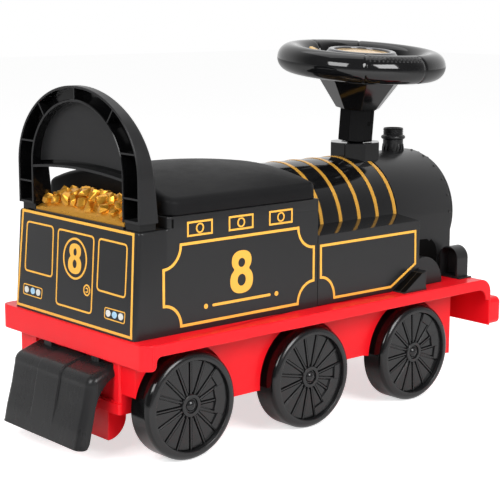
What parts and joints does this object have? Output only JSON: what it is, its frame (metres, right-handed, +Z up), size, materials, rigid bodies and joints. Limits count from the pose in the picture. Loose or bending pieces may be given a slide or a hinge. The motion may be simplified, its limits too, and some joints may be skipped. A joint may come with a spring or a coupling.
{
  "type": "ride-on toy train",
  "caption": "Foot-to-floor toddler ride-on in the shape of a steam locomotive, with a lift-off seat over a storage tray, hoop backrest, rolling wheels and a turning wheel with push buttons.",
  "frame": {"origin": "on the floor, at the middle of the overall length and width", "axes": "+X is the train's front, +Y its left side, +Z up"},
  "size_m": [0.5992, 0.274, 0.4285],
  "materials": {
    "red_plastic": "glossy moulded red",
    "satin_black": "satin moulded black",
    "wheel_black": "satin moulded black",
    "gloss_black": "polished moulded black",
    "gold_trim": "gold print and gold plastic",
    "gold_coal": "metallic gold lacquer",
    "steel": "plain zinc steel",
    "bush_grey": "plain moulded grey",
    "trim_grey": "silver grey plastic",
    "lens_clear": "clear moulded lens",
    "board_green": "circuit board",
    "speaker_metal": "plain speaker can",
    "cell_sleeve": "plain battery sleeve"
  },
  "bodies": {
    "locomotive": {"chassis_deck": "red_plastic", "keel": "red_plastic", "buffer_beam": "red_plastic", "tipping_foot": "red_plastic", "rear_guard": "satin_black", "body_shell": "satin_black", "storage_tray": "satin_black", "side_tank_left": "satin_black", "side_tank_right": "satin_black", "boiler_shell": "gloss_black", "boiler_bands": "gold_trim", "smokebox": "satin_black", "smokebox_door": "satin_black", "door_handle": "gold_trim", "chimney": "satin_black", "lamp_housing_left": "satin_black", "lamp_housing_right": "satin_black", "lamp_lenses": "lens_clear", "cylinder_cover_left": "satin_black", "cylinder_cover_right": "satin_black", "backrest_hoop": "satin_black", "coal_load": "gold_coal", "rear_axle": "steel", "middle_axle": "steel", "front_axle": "steel", "axle_spacers": "satin_black", "axle_caps": "satin_black", "steering_bush": "bush_grey", "body_screws": "steel", "keel_screws": "steel", "backrest_screws": "steel"},
    "seat": {"seat_lid": "satin_black"},
    "steering": {"steering_column": "gloss_black", "column_washer": "steel", "column_screw": "steel", "steering_housing": "gloss_black", "steering_wheel": "gloss_black", "hub_trim_ring": "trim_grey", "circuit_board": "board_green", "speaker": "speaker_metal", "battery_cells": "cell_sleeve", "housing_screws": "steel"},
    "horn": {"horn_button": "gold_trim"},
    "left_push": {"left_button": "gold_trim"},
    "right_push": {"right_button": "gold_trim"},
    "rear_left_wheel_body": {"rear_left_wheel": "wheel_black"},
    "rear_right_wheel_body": {"rear_right_wheel": "wheel_black"},
    "middle_left_wheel_body": {"middle_left_wheel": "wheel_black"},
    "middle_right_wheel_body": {"middle_right_wheel": "wheel_black"},
    "front_left_wheel_body": {"front_left_wheel": "wheel_black"},
    "front_right_wheel_body": {"front_right_wheel": "wheel_black"}
  },
  "joints": [
    {"name": "seat_lift", "type": "slide", "parent": "locomotive", "child": "seat", "axis": [0, 0, 1], "range_m": [0, 0.12]},
    {"name": "steering_turn", "type": "hinge", "parent": "locomotive", "child": "steering", "pos_m": [0.1739, 0, 0.304], "axis": [0, -0.0872, 0.9962], "continuous": true},
    {"name": "horn_press", "type": "slide", "parent": "steering", "child": "horn", "axis": [0, 0.0872, -0.9962], "range_m": [0, 0.0025], "stiffness_N_per_m": 1500, "springref_m": -0.001},
    {"name": "left_press", "type": "slide", "parent": "steering", "child": "left_push", "axis": [0, 0.0872, -0.9962], "range_m": [0, 0.002], "stiffness_N_per_m": 1200, "springref_m": -0.001},
    {"name": "right_press", "type": "slide", "parent": "steering", "child": "right_push", "axis": [0, 0.0872, -0.9962], "range_m": [0, 0.002], "stiffness_N_per_m": 1200, "springref_m": -0.001},
    {"name": "rear_left_roll", "type": "hinge", "parent": "locomotive", "child": "rear_left_wheel_body", "pos_m": [-0.1884, 0.1107, 0.059], "axis": [0, 1, 0], "continuous": true},
    {"name": "rear_right_roll", "type": "hinge", "parent": "locomotive", "child": "rear_right_wheel_body", "pos_m": [-0.1884, -0.1107, 0.059], "axis": [0, 1, 0], "continuous": true},
    {"name": "middle_left_roll", "type": "hinge", "parent": "locomotive", "child": "middle_left_wheel_body", "pos_m": [-0.0159, 0.1107, 0.059], "axis": [0, 1, 0], "continuous": true},
    {"name": "middle_right_roll", "type": "hinge", "parent": "locomotive", "child": "middle_right_wheel_body", "pos_m": [-0.0159, -0.1107, 0.059], "axis": [0, 1, 0], "continuous": true},
    {"name": "front_left_roll", "type": "hinge", "parent": "locomotive", "child": "front_left_wheel_body", "pos_m": [0.1566, 0.1107, 0.059], "axis": [0, 1, 0], "continuous": true},
    {"name": "front_right_roll", "type": "hinge", "parent": "locomotive", "child": "front_right_wheel_body", "pos_m": [0.1566, -0.1107, 0.059], "axis": [0, 1, 0], "continuous": true}
  ]
}
